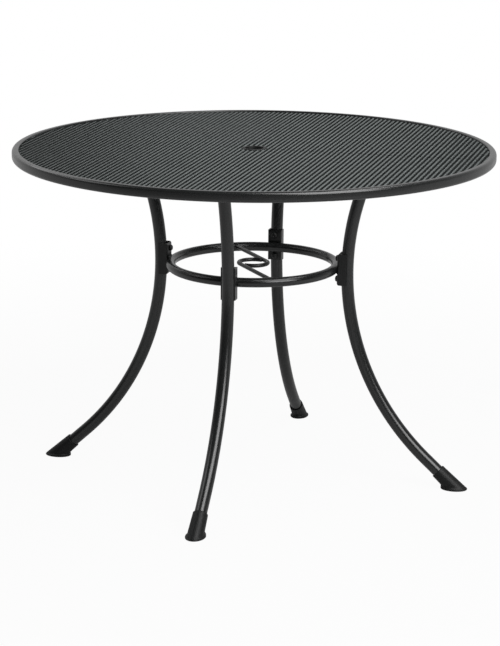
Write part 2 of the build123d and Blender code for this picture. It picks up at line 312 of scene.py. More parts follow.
# %% Two staggered grids of spots
def knot_spots(tree, given):
    """A grid that covers the disc, joined with the same grid moved half a diamond both ways."""
    reach = calc(tree, "ADD", given["Outer Radius"], given["Long Way"])

    def count(pitch):
        half = calc(tree, "CEIL", calc(tree, "DIVIDE", reach, pitch))
        return calc(tree, "ADD", calc(tree, "MULTIPLY", half, 2.0), 1.0)

    def span(number, pitch):
        return calc(tree, "MULTIPLY", calc(tree, "SUBTRACT", number, 1.0), pitch)

    columns, rows = count(given["Long Way"]), count(given["Short Way"])
    grid = node(tree, "GeometryNodeMeshGrid", {
        "Size X": span(columns, given["Long Way"]), "Size Y": span(rows, given["Short Way"]),
        "Vertices X": columns, "Vertices Y": rows})
    half_step = node(tree, "ShaderNodeCombineXYZ", {
        "X": calc(tree, "MULTIPLY", given["Long Way"], 0.5),
        "Y": calc(tree, "MULTIPLY", given["Short Way"], 0.5)})
    between = node(tree, "GeometryNodeTransform", {
        "Geometry": grid.outputs["Mesh"], "Translation": half_step.outputs[0]})
    spots = node(tree, "GeometryNodeJoinGeometry")
    tree.links.new(grid.outputs["Mesh"], spots.inputs[0])
    tree.links.new(between.outputs[0], spots.inputs[0])
    return spots.outputs[0]


print("diamonds", round(LONG_WAY * 1000, 1), "by", round(SHORT_WAY * 1000, 1), "mm")

# %% Knots of one sector, joined at their ends
MARGIN_SHARE, JOIN_DISTANCE = 0.3, 0.00002


def sector_knots(tree, given, spots, radius, angle):
    """A knot on every spot between two angles that touches the disc."""
    margin = calc(tree, "MULTIPLY", given["Long Way"], MARGIN_SHARE)
    near = calc(tree, "LESS_THAN", radius, calc(tree, "ADD", given["Outer Radius"], margin))
    far = calc(tree, "GREATER_THAN", radius, calc(tree, "SUBTRACT", given["Inner Radius"], margin))
    past_start = calc(tree, "SUBTRACT", 1.0, calc(tree, "LESS_THAN", angle, given["From Angle"]))
    before_stop = calc(tree, "LESS_THAN", angle, given["To Angle"])
    keep = calc(tree, "MULTIPLY", calc(tree, "MULTIPLY", near, far),
                calc(tree, "MULTIPLY", past_start, before_stop))
    unit = node(tree, "GeometryNodeObjectInfo", {"Object": given["Knot"]})
    copies = node(tree, "GeometryNodeInstanceOnPoints", {
        "Points": spots, "Selection": keep, "Instance": unit.outputs["Geometry"]})
    real = node(tree, "GeometryNodeRealizeInstances", {"Geometry": copies.outputs[0]})
    joined = node(tree, "GeometryNodeMergeByDistance", {
        "Geometry": real.outputs[0], "Distance": JOIN_DISTANCE})
    return joined.outputs[0]


print("strand ends join within", JOIN_DISTANCE * 1000, "mm")

# %% Trim to the disc and finish the tree
ALL_OUTSIDE = 0.999


def on_disc(tree, given, geometry, place, radius):
    """Faces wholly past the rim or the collar go, and what crosses an edge is pulled back to it."""
    outside = calc(tree, "ADD", calc(tree, "GREATER_THAN", radius, given["Outer Radius"]),
                   calc(tree, "LESS_THAN", radius, given["Inner Radius"]))
    marked = node(tree, "GeometryNodeStoreNamedAttribute", {
        "Geometry": geometry, "Name": "outside", "Value": outside}, data_type="FLOAT", domain="POINT")
    mark = node(tree, "GeometryNodeInputNamedAttribute", {"Name": "outside"}, data_type="FLOAT")
    trimmed = node(tree, "GeometryNodeDeleteGeometry", {
        "Geometry": marked.outputs[0],
        "Selection": calc(tree, "GREATER_THAN", mark.outputs["Attribute"], ALL_OUTSIDE)}, domain="FACE")
    held = calc(tree, "MINIMUM", calc(tree, "MAXIMUM", radius, given["Inner Radius"]), given["Outer Radius"])
    pulled = calc(tree, "DIVIDE", held, radius)
    spot = node(tree, "ShaderNodeCombineXYZ", {
        "X": calc(tree, "MULTIPLY", place["X"], pulled), "Y": calc(tree, "MULTIPLY", place["Y"], pulled),
        "Z": calc(tree, "ADD", place["Z"], given["Height"])})
    placed = node(tree, "GeometryNodeSetPosition", {
        "Geometry": trimmed.outputs[0], "Position": spot.outputs[0]})
    bare = node(tree, "GeometryNodeRemoveAttribute", {"Geometry": placed.outputs[0], "Name": "outside"})
    return bare.outputs[0]


def lattice_tree():
    """The whole recipe of one sector of the top."""
    tree, given, end = open_tree("expanded_metal", Object=["Knot"], Material=["Finish"], Float=[
        "Long Way", "Short Way", "Inner Radius", "Outer Radius", "Height", "From Angle", "To Angle"])
    position = node(tree, "GeometryNodeInputPosition").outputs[0]
    place = node(tree, "ShaderNodeSeparateXYZ", {"Vector": position}).outputs
    squares = [calc(tree, "MULTIPLY", place[axis], place[axis]) for axis in ("X", "Y")]
    radius = calc(tree, "SQRT", calc(tree, "ADD", *squares))
    angle = calc(tree, "ARCTAN2", place["Y"], place["X"])
    knots = sector_knots(tree, given, knot_spots(tree, given), radius, angle)
    disc = on_disc(tree, given, knots, place, radius)
    crisp = node(tree, "GeometryNodeSetShadeSmooth", {"Geometry": disc, "Shade Smooth": False})
    close_tree(tree, crisp.outputs[0], given["Finish"], end)
    return tree


lattice = lattice_tree()
print("lattice tree:", len(lattice.nodes), "nodes")

# %% [markdown]
# ## Growing the top
# One mesh of the whole top would be too heavy for a single piece, so it is grown in six sectors that meet
# strand to strand. The cut strands are open tubes, so their ends are closed. The mesh lies a little below the
# rim's top, which leaves the dark line inside the rim.

# %% Grow the top in sectors
SECTORS, SECTOR_SLACK = 6, 1e-6
COLLAR_GAP, RIM_GAP, MESH_PROUD = 0.0004, 0.0002, 0.0004
panel_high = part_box("mesh_panel")[1]
collar_low, collar_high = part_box("parasol_collar")
knot_rise = STRAND_WIDTH * sin(KNOT_TILT) + STRAND_THICKNESS / 2 * cos(KNOT_TILT)


def close_ends(data):
    """Close a trimmed mesh where strands were cut off."""
    work = bmesh.new()
    work.from_mesh(data)
    bmesh.ops.edgeloop_fill(work, edges=[edge for edge in work.edges if edge.is_boundary])
    bmesh.ops.recalc_face_normals(work, faces=work.faces)
    work.to_mesh(data)
    work.free()


for sector in range(SECTORS):
    start = -pi + 2 * pi * sector / SECTORS
    piece = grown(f"expanded_metal_{sector + 1}", lattice, {
        "Knot": knot, "Long Way": LONG_WAY, "Short Way": SHORT_WAY,
        "Inner Radius": collar_high.x + COLLAR_GAP, "Outer Radius": panel_high.x - RIM_GAP,
        "Height": panel_high.z - knot_rise + MESH_PROUD,
        "From Angle": start, "To Angle": start + 2 * pi / SECTORS + SECTOR_SLACK, "Finish": mesh_coat})
    close_ends(piece.data)
    seat(piece, "iron_grey_coat", "mesh_panel")
    top = max(v.co.z for v in piece.data.vertices)
    print(piece.name, triangles(piece), "triangles, top at", round(top, 4))
bpy.data.objects.remove(knot)

# %% [markdown]
# ## The rim
# The rim is a flat-oval steel tube, rolled to a ring and welded shut. Its outer corners are soft, its inner
# ones are tight where the mesh is welded to it. A lathe would do, but the rim is a section carried along a
# circle, so the tree draws the section as a rectangle, rounds its corners, and sweeps it.

# %% The tree that sweeps a rounded section round a circle
CORNER_STEPS = 8


def rim_tree():
    """A rectangle with two kinds of rounded corners, swept round a level circle."""
    tree, given, end = open_tree("rolled_rim", Int=["Steps"], Material=["Finish"], Float=[
        "Inside Radius", "Outside Radius", "Low", "Top", "Outer Round", "Inner Round"])
    section = node(tree, "GeometryNodeCurvePrimitiveQuadrilateral", {
        "Width": calc(tree, "SUBTRACT", given["Outside Radius"], given["Inside Radius"]),
        "Height": calc(tree, "SUBTRACT", given["Top"], given["Low"])})
    position = node(tree, "GeometryNodeInputPosition").outputs[0]
    across = node(tree, "ShaderNodeSeparateXYZ", {"Vector": position}).outputs["X"]
    rounding = node(tree, "ShaderNodeMix", {
        "Factor": calc(tree, "GREATER_THAN", across, 0.0),
        "A": given["Inner Round"], "B": given["Outer Round"]})
    soft = node(tree, "GeometryNodeFilletCurve", {
        "Curve": section.outputs[0], "Count": CORNER_STEPS,
        "Radius": rounding.outputs["Result"]}, mode="POLY")
    middle = calc(tree, "MULTIPLY", calc(tree, "ADD", given["Outside Radius"], given["Inside Radius"]), 0.5)
    circle = node(tree, "GeometryNodeCurvePrimitiveCircle", {"Resolution": given["Steps"], "Radius": middle})
    upright = node(tree, "GeometryNodeSetCurveNormal", {"Curve": circle.outputs["Curve"]}, mode="Z_UP")
    height = node(tree, "ShaderNodeCombineXYZ", {
        "Z": calc(tree, "MULTIPLY", calc(tree, "ADD", given["Top"], given["Low"]), 0.5)})
    raised = node(tree, "GeometryNodeTransform", {
        "Geometry": upright.outputs[0], "Translation": height.outputs[0]})
    swept = node(tree, "GeometryNodeCurveToMesh", {
        "Curve": raised.outputs[0], "Profile Curve": soft.outputs[0]})
    smooth = node(tree, "GeometryNodeSetShadeSmooth", {"Geometry": swept.outputs[0]})
    close_tree(tree, smooth.outputs[0], given["Finish"], end)
    return tree


rolling = rim_tree()
print("rim tree:", len(rolling.nodes), "nodes")

# %% Sweep the rim
RIM_OUTER_ROUND, RIM_INNER_ROUND, RIM_STEPS, WALL_BAND = 0.0066, 0.0025, 360, 0.0001
rim_low, rim_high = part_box("top_rim")
rim = grown("rolled_rim", rolling, {
    "Inside Radius": panel_high.x, "Outside Radius": rim_high.x, "Low": rim_low.z, "Top": rim_high.z,
    "Outer Round": RIM_OUTER_ROUND, "Inner Round": RIM_INNER_ROUND, "Steps": RIM_STEPS, "Finish": iron_coat})
seat(rim, "iron_grey_coat", "top_rim")
wall = [v.co.z for v in rim.data.vertices if v.co.xy.length > rim_high.x - WALL_BAND]
print("rim:", triangles(rim), "triangles, outer wall z", round(min(wall), 4), "to", round(max(wall), 4))

# %% [markdown]
# ## Tubes, rods and weld beads
# Legs, ring and holder are all round stock bent along a line, so one tree serves them: it turns a line of
# points into a curve and sweeps a circle along it. A tip length rounds cut ends, and a ripple swells and
# pinches the section, which turns the same sweep into the scaled look of a weld bead.

# %% The tree that sweeps a circle along a path
LEAST_TIP = 0.00001


def tube_tree():
    """A circle swept along the input's edges, with rounded tips and a ripple."""
    tree, given, end = open_tree("tube_on_path", Int=["Sides"], Material=["Finish"], Float=[
        "Radius", "Tip", "Ripple", "Ripple Pitch"])
    path = node(tree, "GeometryNodeMeshToCurve", {"Mesh": given["Geometry"]})
    along = node(tree, "GeometryNodeSplineParameter").outputs["Length"]
    whole = node(tree, "GeometryNodeSplineLength").outputs["Length"]
    nearest = calc(tree, "MINIMUM", along, calc(tree, "SUBTRACT", whole, along))
    in_tip = calc(tree, "DIVIDE", calc(tree, "ADD", nearest, LEAST_TIP),
                  calc(tree, "ADD", given["Tip"], LEAST_TIP))
    short = calc(tree, "SUBTRACT", 1.0, calc(tree, "MINIMUM", in_tip, 1.0))
    rounded = calc(tree, "SQRT", calc(tree, "SUBTRACT", 1.0, calc(tree, "MULTIPLY", short, short)))
    turns = calc(tree, "DIVIDE", calc(tree, "MULTIPLY", along, 2 * pi), given["Ripple Pitch"])
    swell = calc(tree, "MULTIPLY_ADD", calc(tree, "SINE", turns), given["Ripple"], 1.0)
    circle = node(tree, "GeometryNodeCurvePrimitiveCircle", {
        "Resolution": given["Sides"], "Radius": given["Radius"]})
    swept = node(tree, "GeometryNodeCurveToMesh", {
        "Curve": path.outputs[0], "Profile Curve": circle.outputs["Curve"],
        "Scale": calc(tree, "MULTIPLY", rounded, swell), "Fill Caps": True})
    smooth = node(tree, "GeometryNodeSetShadeSmooth", {"Geometry": swept.outputs[0]})
    close_tree(tree, smooth.outputs[0], given["Finish"], end)
    return tree


tubes = tube_tree()
print("tube tree:", len(tubes.nodes), "nodes")

# %% [markdown]
# ## Legs
# Each leg is one tube bent in a single long bow, with a straight last stretch in the boot. The bow's circle
# lies outside the table, so the leg's distance from the table's axis is least at the waist. A sweep ends
# square to its path, but these tubes are sawn level to meet the plate and the boot's sole, so the path runs
# on a little at both ends and the tube is cut off at the two heights.

# %% The bow that the legs follow
WAIST_RADIUS, WAIST_HEIGHT, BOW_RADIUS, STRAIGHT_HEIGHT = 0.212, 0.477, 0.557, 0.065
leg_low, leg_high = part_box("leg_right")
LEG_RADIUS = (leg_high.y - leg_low.y) / 2


def leg_reach(height):
    """Distance from the table's axis to the leg's centreline."""
    bent = max(height, STRAIGHT_HEIGHT)
    drop = sqrt(BOW_RADIUS ** 2 - (bent - WAIST_HEIGHT) ** 2)
    return WAIST_RADIUS + BOW_RADIUS - drop + (bent - height) * (WAIST_HEIGHT - bent) / drop


def round_table(reach, side, height, quarter):
    """A point at a reach and a sideways offset, turned by quarters from the right leg."""
    return Matrix.Rotation(quarter * pi / 2, 3, "Z") @ Vector((reach, side, height))


def steps(start, stop, count):
    """Evenly spaced values, both ends included."""
    return [start + (stop - start) * k / (count - 1) for k in range(count)]


def path_mesh(name, lines, closed=False):
    """Lines of points as a mesh of edges."""
    spots, edges = [], []
    for line in lines:
        first = len(spots)
        spots += line
        edges += [(k, k + 1) for k in range(first, len(spots) - 1)]
        if closed:
            edges.append((len(spots) - 1, first))
    data = bpy.data.meshes.new(name)
    data.from_pydata(spots, edges, [])
    return data


print("leg reach at floor, waist and top:", [round(leg_reach(z), 4) for z in (0, WAIST_HEIGHT, leg_high.z)])

# %% Sweep the four legs and cut them level
RUN_ON, LEG_STEPS, LEG_SIDES = 0.014, 150, 48


def cut_level(piece, low, high):
    """Cut a piece off level at two heights and close the cuts."""
    work = bmesh.new()
    work.from_mesh(piece.data)
    for height, away in ((low, -1), (high, 1)):
        cut = bmesh.ops.bisect_plane(
            work, geom=work.verts[:] + work.edges[:] + work.faces[:], dist=SAME_PLACE,
            plane_co=(0, 0, height), plane_no=(0, 0, away), clear_outer=True)
        cut_edges = [part for part in cut["geom_cut"] if isinstance(part, bmesh.types.BMEdge)]
        bmesh.ops.contextual_create(work, geom=cut_edges)
    work.to_mesh(piece.data)
    work.free()
    facing_out(piece.data)


for quarter, side in enumerate(SIDES):
    levels = steps(leg_low.z - RUN_ON, leg_high.z + RUN_ON, LEG_STEPS)
    line = [round_table(leg_reach(z), 0, z, quarter) for z in levels]
    leg = grown("leg_tube_" + side, tubes, {"Radius": LEG_RADIUS, "Sides": LEG_SIDES, "Finish": iron_coat},
                path_mesh("line", [line]))
    cut_level(leg, leg_low.z, leg_high.z)
    seat(leg, "iron_grey_coat", "leg_" + side)
heights = [v.co.z for v in leg.data.vertices]
print("legs:", triangles(leg), "triangles each, z", round(min(heights), 4), "to", round(max(heights), 4))

# %% [markdown]
# ## The ring
# The ring is a round tube rolled to a circle and welded shut, and it ties the legs at their waist. It lies
# against the brackets' inner faces and bites into them a little, as a welded tube does, so its radius is
# worked out from the leg inwards. The same tree sweeps it, along a closed path.

# %% Sweep the ring
SADDLE_STANDOFF, SADDLE_WEB, RING_BITE = 0.004, 0.003, 0.0008
RING_STEPS, RING_SIDES = 240, 40
ring_low, ring_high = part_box("ring_stretcher")
RING_HEIGHT, RING_TUBE = (ring_low.z + ring_high.z) / 2, (ring_high.z - ring_low.z) / 2
WEB_REACH = leg_reach(RING_HEIGHT) - LEG_RADIUS - SADDLE_STANDOFF - SADDLE_WEB
RING_RADIUS = WEB_REACH - RING_TUBE + RING_BITE


def full_turn(count):
    """Evenly spaced angles of one turn, its end left out."""
    return steps(0, 2 * pi, count + 1)[:-1]


def on_circle(radius, angle, height):
    """A point on a level circle round the table's axis."""
    return Vector((radius * cos(angle), radius * sin(angle), height))


circle = [on_circle(RING_RADIUS, a, RING_HEIGHT) for a in full_turn(RING_STEPS)]
ring = grown("ring_tube", tubes, {"Radius": RING_TUBE, "Sides": RING_SIDES, "Finish": iron_coat},
             path_mesh("line", [circle], True))
seat(ring, "iron_grey_coat", "ring_stretcher")
print("ring:", triangles(ring), "triangles, radius", round(RING_RADIUS, 4))

# %% [markdown]
# ## The parasol holder
# Two rods are welded to the ring, run past its middle and hook back, so that their hooks close round a pole.
# A rod is a straight line that turns into an arc, and the second one is the first turned half way round. On
# the real table they look a little thicker than the solids and each hook ends on the other rod, so the radius
# gets a small extra and the arc stops where its centreline meets the other rod's side.

# %% Sweep the two hooked rods
LOOP_RADIUS, ROD_ANGLE, ROD_EXTRA, ROD_TIP = 0.032, radians(38), 0.0004, 0.0012
ROD_SIDES, RUN_STEPS, HOOK_STEPS, RUN_END = 24, 60, 90, 0.002
rod_low, rod_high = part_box("holder_rod_back")
ROD_RADIUS, ROD_HEIGHT = (rod_high.z - rod_low.z) / 2 + ROD_EXTRA, (rod_high.z + rod_low.z) / 2
hook_sweep = acos(-(LOOP_RADIUS - ROD_RADIUS) / LOOP_RADIUS)
ring_end = sqrt(RING_RADIUS ** 2 - LOOP_RADIUS ** 2)
rod_line = [Vector((LOOP_RADIUS, y, ROD_HEIGHT)) for y in steps(ring_end, RUN_END, RUN_STEPS)]
rod_line += [on_circle(LOOP_RADIUS, a, ROD_HEIGHT) for a in steps(0, -hook_sweep, HOOK_STEPS)]
ROD_TURNS = [Matrix.Rotation(ROD_ANGLE + half * pi, 3, "Z") for half in range(2)]
# The rods take the darker coat, which paints in the shade they sit in.
for turn, name in zip(ROD_TURNS, ("back", "front")):
    rod = grown("holder_wire_" + name, tubes, {
        "Radius": ROD_RADIUS, "Sides": ROD_SIDES, "Tip": ROD_TIP, "Finish": shade_darkened_coat},
        path_mesh("line", [[turn @ spot for spot in rod_line]]))
    seat(rod, "iron_grey_coat", "holder_rod_" + name)
print("rods:", triangles(rod), "triangles each, hook", round(degrees(hook_sweep), 1), "degrees")

# %% [markdown]
# ## Weld beads
# The frame is welded before it is coated, and the coat leaves the beads' scales showing. They are laid where
# the ring meets the brackets, the rods meet the ring, the legs meet their plates and the bars meet the rim.
# Straight seams and seams that run round a tube are kept apart, because only the first have tips.

# %% Lines of the straight beads
RING_BEAD_SHIFT, RING_BEAD_HALF, BEAD_OFF = 0.0058, 0.013, 0.0004
RIM_BEAD_IN, SIDE_BEAD_IN, SIDE_BEAD_SHORT = 0.0008, 0.0009, 0.003
RING_BEAD_STEPS, RIM_BEAD_STEPS, SIDE_BEAD_STEPS = 64, 70, 40
bar_low, bar_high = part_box("support_bar_right")
BAR_HALF = bar_high.y


def straight_seams(quarter):
    """Beads of one quarter: two at the bracket, three round the bar's end."""
    lines = []
    for shift in (-RING_BEAD_SHIFT, RING_BEAD_SHIFT):
        lines.append([round_table(WEB_REACH - BEAD_OFF, y, RING_HEIGHT + shift, quarter)
                      for y in steps(-RING_BEAD_HALF, RING_BEAD_HALF, RING_BEAD_STEPS)])
    lines.append([round_table(panel_high.x - RIM_BEAD_IN, y, bar_low.z - BEAD_OFF, quarter)
                  for y in steps(-BAR_HALF, BAR_HALF, RIM_BEAD_STEPS)])
    for edge in (-1, 1):
        lines.append([round_table(panel_high.x - SIDE_BEAD_IN, edge * (BAR_HALF + BEAD_OFF), z, quarter)
                      for z in steps(bar_low.z, bar_high.z - SIDE_BEAD_SHORT, SIDE_BEAD_STEPS)])
    return lines


open_beads = [line for quarter in range(4) for line in straight_seams(quarter)]
print("straight seams:", len(open_beads))

# %% Lines of the beads that run round a tube
LEG_BEAD_OUT, LEG_BEAD_DROP, ROD_BEAD_OUT, LEAN_STEP = 0.0005, 0.0008, 0.0003, 0.01
LEG_BEAD_STEPS, ROD_BEAD_STEPS = 180, 90
leg_lean = atan2(leg_reach(leg_high.z) - leg_reach(leg_high.z - LEAN_STEP), LEAN_STEP)
ring_inside = RING_RADIUS - sqrt(RING_TUBE ** 2 - (ROD_HEIGHT - RING_HEIGHT) ** 2)
rod_meets = sqrt(ring_inside ** 2 - LOOP_RADIUS ** 2)


def leg_seam(quarter):
    """The bead where a leaning leg meets its level plate: an ellipse."""
    wide = LEG_RADIUS + LEG_BEAD_OUT
    long = wide / cos(leg_lean)
    return [round_table(leg_reach(leg_high.z) + long * cos(a), wide * sin(a),
                        leg_high.z - LEG_BEAD_DROP, quarter) for a in full_turn(LEG_BEAD_STEPS)]


def rod_seam(turn):
    """The bead where a rod meets the ring."""
    wide = ROD_RADIUS + ROD_BEAD_OUT
    return [turn @ Vector((LOOP_RADIUS + wide * cos(a), rod_meets - BEAD_OFF,
                           ROD_HEIGHT + wide * sin(a))) for a in full_turn(ROD_BEAD_STEPS)]


closed_beads = [leg_seam(quarter) for quarter in range(4)] + [rod_seam(turn) for turn in ROD_TURNS]
print("round seams:", len(closed_beads), "leg lean at the plate", round(degrees(leg_lean), 1), "degrees")

# %% Lay the beads
BEAD_RADIUS, BEAD_RIPPLE, BEAD_PITCH, BEAD_TIP, BEAD_SIDES = 0.0019, 0.14, 0.0026, 0.002, 12
bead_values = {"Radius": BEAD_RADIUS, "Sides": BEAD_SIDES, "Ripple": BEAD_RIPPLE, "Ripple Pitch": BEAD_PITCH,
               "Finish": weld_coat}
straight_welds = grown("weld_beads_straight", tubes, {**bead_values, "Tip": BEAD_TIP},
                       path_mesh("line", open_beads))
round_welds = grown("weld_beads_round", tubes, bead_values, path_mesh("line", closed_beads, True))
for welds in (straight_welds, round_welds):
    seat(welds, "iron_grey_coat")
    print(welds.name, triangles(welds), "triangles")

# %% [markdown]
# ## Bolts
# Button-head bolts hold the brackets to the legs and the leg plates to the bars. One head is made as rings of
# points from its seat over its dome into the hexagon socket, and a tree sets it at each bolt, turned to face
# away from what it clamps.

# %% One button head with its socket
HEAD_RADIUS, HEAD_HEIGHT, SOCKET_FLATS, SOCKET_DEPTH = 0.0068, 0.0048, 0.004, 0.002
HEAD_EDGE, DOME_REACH, DOME_START, DOME_STEPS, HEAD_SIDES = 0.001, 0.0042, 0.35, 5, 24
SIXTH = pi / 3


def socket_reach(angle):
    """Distance from the middle of a hexagon to its side."""
    return SOCKET_FLATS / 2 / cos((angle + SIXTH / 2) % SIXTH - SIXTH / 2)


def button_head():
    """Rings of points, joined ring to ring and closed at both ends; no radius means the hexagon."""
    dome = [(HEAD_RADIUS, 0), (HEAD_RADIUS, HEAD_EDGE)]
    rise = HEAD_HEIGHT - HEAD_EDGE
    dome += [(HEAD_RADIUS - DOME_REACH * (1 - cos(a)), HEAD_EDGE + rise * sin(a))
             for a in steps(DOME_START, pi / 2, DOME_STEPS)]
    made = bmesh.new()
    rings = []
    for radius, height in dome + [(None, HEAD_HEIGHT), (None, HEAD_HEIGHT - SOCKET_DEPTH)]:
        rings.append([made.verts.new(on_circle(radius or socket_reach(a), a, height))
                      for a in full_turn(HEAD_SIDES)])
    for low, high in zip(rings, rings[1:]):
        for k in range(HEAD_SIDES):
            n = (k + 1) % HEAD_SIDES
            made.faces.new((low[k], low[n], high[n], high[k])).smooth = True
    made.faces.new(list(reversed(rings[0])))
    made.faces.new(rings[-1])
    return kept_mesh("button_head", made, shade_darkened_coat)


head = add_object("button_head", button_head())
print("bolt head:", len(head.data.polygons), "faces")

# %% The tree that sets a fastener at each point
def fastener_tree():
    """A fastener on every point, its axis turned to the point's own direction."""
    tree, given, end = open_tree("fasteners", Object=["Fastener"], Material=["Finish"])
    facing = node(tree, "GeometryNodeInputNamedAttribute", {"Name": "facing"}, data_type="FLOAT_VECTOR")
    turn = node(tree, "FunctionNodeAlignRotationToVector", {"Vector": facing.outputs["Attribute"]}, axis="Z")
    unit = node(tree, "GeometryNodeObjectInfo", {"Object": given["Fastener"]})
    copies = node(tree, "GeometryNodeInstanceOnPoints", {
        "Points": given["Geometry"], "Instance": unit.outputs["Geometry"], "Rotation": turn.outputs[0]})
    close_tree(tree, copies.outputs[0], given["Finish"], end)
    return tree


def spots_mesh(spots):
    """Points with the direction that each fastener's head faces."""
    data = bpy.data.meshes.new("spots")
    data.from_pydata([place for place, _ in spots], [], [])
    facing = data.attributes.new("facing", "FLOAT_VECTOR", "POINT")
    facing.data.foreach_set("vector", [value for _, direction in spots for value in direction])
    return data


fasteners = fastener_tree()
print("fastener tree:", len(fasteners.nodes), "nodes")

# %% Set the bolts of the brackets and of the leg plates
SADDLE_RISE, SADDLE_BOLT_SPACING, WASHER, PLATE_BOLT_SPACING = 0.002, 0.046, 0.0015, 0.072
saddle_tip = Matrix.Rotation(asin((RING_HEIGHT + SADDLE_RISE - WAIST_HEIGHT) / BOW_RADIUS), 3, "Y")
bow_centre = Vector((WAIST_RADIUS + BOW_RADIUS, 0, WAIST_HEIGHT))
head_reach = LEG_RADIUS + SADDLE_STANDOFF + SADDLE_WEB + WASHER
saddle_spots, plate_spots = [], []
for quarter in range(4):
    turn = Matrix.Rotation(quarter * pi / 2, 3, "Z")
    for half in (-0.5, 0.5):
        at_waist = Vector((-BOW_RADIUS - head_reach, 0, half * SADDLE_BOLT_SPACING))
        inwards = turn @ saddle_tip @ Vector((-1, 0, 0))
        saddle_spots.append((turn @ (bow_centre + saddle_tip @ at_waist), inwards))
        plate_reach = leg_reach(leg_high.z) + half * PLATE_BOLT_SPACING
        plate_spots.append((round_table(plate_reach, 0, leg_high.z, quarter), Vector((0, 0, -1))))
# The bolt heads take the darker coat with its painted shade.
for name, spots, replaced in (("saddle_bolt_heads", saddle_spots, "saddle_bolts"),
                              ("plate_bolt_heads", plate_spots, "leg_plate_bolts")):
    bolts = grown(name, fasteners, {"Fastener": head, "Finish": shade_darkened_coat}, spots_mesh(spots))
    seat(bolts, "iron_grey_coat", replaced)
    print(name, len(spots), "heads,", triangles(bolts), "triangles")
bpy.data.objects.remove(head)

# %% [markdown]
# ## Foot boots
# Each boot is a moulded sleeve of black plastic. It grips the tube, widens a little downwards and is cut off
# level at the floor, where the sides and the heel swell to a rounded lip while the toe runs straight out to a
# blunt tip. It is lofted: for each direction round the leg, a line runs down the sleeve and bends to the lip.

# %% The leaning sleeve of a boot
BOOT_LENGTH, BOOT_TOP_RADIUS, BOOT_FOOT_RADIUS, BOOT_BORE = 0.057, 0.0161, 0.0178, 0.0137
HALVINGS = 40
foot_reach = leg_reach(0)
foot_lean = atan2(leg_reach(0) - leg_reach(LEAN_STEP), LEAN_STEP)
up_leg = Vector((-sin(foot_lean), 0, cos(foot_lean)))
over_leg = Vector((cos(foot_lean), 0, sin(foot_lean)))


def sleeve_point(along, angle, radius=None):
    """A point on the sleeve, a distance up the leg from the floor, at an angle from the toe."""
    if radius is None:
        radius = BOOT_FOOT_RADIUS + (BOOT_TOP_RADIUS - BOOT_FOOT_RADIUS) * along / BOOT_LENGTH
    return (Vector((foot_reach, 0, 0)) + up_leg * along
            + (over_leg * cos(angle) + Vector((0, 1, 0)) * sin(angle)) * radius)


def along_at(height, angle):
    """How far up the leg the sleeve's line at an angle crosses a height."""
    low, high = -BOOT_LENGTH, BOOT_LENGTH
    for _ in range(HALVINGS):
        middle = (low + high) / 2
        low, high = (middle, high) if sleeve_point(middle, angle).z < height else (low, middle)
    return low


boot_top = sleeve_point(BOOT_LENGTH, 0).z
print("boot lean", round(degrees(foot_lean), 1), "degrees, top at z", round(boot_top, 4))

# %% One line of a boot, from its mouth to the floor
LIP_HALF_LENGTH, LIP_HALF_WIDTH, HEEL_SHIFT, LIP_ROUND = 0.0295, 0.0213, 0.0053, 0.0014
LIP_HEIGHTS, KNEE_HEIGHTS = (0.0034, 0.0044, 0.0068), (0.0052, 0.0095, 0.0130)
MOUTH_DEPTH, MOUTH_EDGE, MOUTH_ROUND, MOUTH_DROP, SLEEVE_START = 0.006, 0.0004, 0.0006, 0.0005, 0.002
SOLE_EDGE, SOLE_SHARE, SLEEVE_STEPS, BEND_STEPS, LIP_STEPS = 0.0008, 0.97, 12, 5, 3


def graded(heights, angle):
    """A height that changes smoothly from toe to side to heel."""
    toe, side, heel = heights
    c = cos(angle)
    return side + (toe - heel) / 2 * c + ((toe + heel) / 2 - side) * c * c


def boot_line(angle):
    """Points from inside the mouth over the sleeve and the lip to the sole."""
    lip, knee = graded(LIP_HEIGHTS, angle), graded(KNEE_HEIGHTS, angle)
    middle = Vector((foot_reach - HEEL_SHIFT, 0, 0))
    out = Vector((LIP_HALF_LENGTH * cos(angle), LIP_HALF_WIDTH * sin(angle), 0))
    inset = 1 - LIP_ROUND / out.length
    bend_along = along_at(knee, angle)
    bend = sleeve_point(bend_along, angle)
    guide = sleeve_point(along_at((lip + knee) / 2, angle), angle)
    lip_top = middle + out * inset + Vector((0, 0, lip))
    line = [sleeve_point(BOOT_LENGTH - down, angle, BOOT_BORE) for down in (MOUTH_DEPTH, MOUTH_EDGE)]
    line.append(sleeve_point(BOOT_LENGTH, angle, BOOT_TOP_RADIUS - MOUTH_ROUND))
    line.append(sleeve_point(BOOT_LENGTH - MOUTH_DROP, angle))
    line += [sleeve_point(s, angle) for s in steps(BOOT_LENGTH - SLEEVE_START, bend_along, SLEEVE_STEPS)]
    line += [bend * (1 - k) ** 2 + guide * 2 * k * (1 - k) + lip_top * k * k
             for k in steps(1 / BEND_STEPS, 1, BEND_STEPS)]
    for a in steps(pi / 6, pi / 2, LIP_STEPS):
        fall = Vector((0, 0, lip - LIP_ROUND * (1 - cos(a))))
        line.append(middle + out * (inset + (1 - inset) * sin(a)) + fall)
    line.append(middle + out + Vector((0, 0, SOLE_EDGE)))
    line.append(middle + out * SOLE_SHARE)
    return line


print("boot line:", len(boot_line(0)), "points")

# %% Loft the boots
BOOT_SIDES = 72


def boot_mesh(quarter):
    """Lines all round the leg, joined line to line and closed at the sole and inside the mouth."""
    made = bmesh.new()
    lines = []
    turn = Matrix.Rotation(quarter * pi / 2, 3, "Z")
    for a in full_turn(BOOT_SIDES):
        lines.append([made.verts.new(turn @ spot) for spot in boot_line(a)])
    for a, b in zip(lines, lines[1:] + lines[:1]):
        for k in range(len(a) - 1):
            made.faces.new((a[k], b[k], b[k + 1], a[k + 1])).smooth = True
    made.faces.new([line[-1] for line in lines])
    made.faces.new([line[0] for line in reversed(lines)])
    bmesh.ops.recalc_face_normals(made, faces=made.faces)
    return kept_mesh("boot", made, boot_plastic)


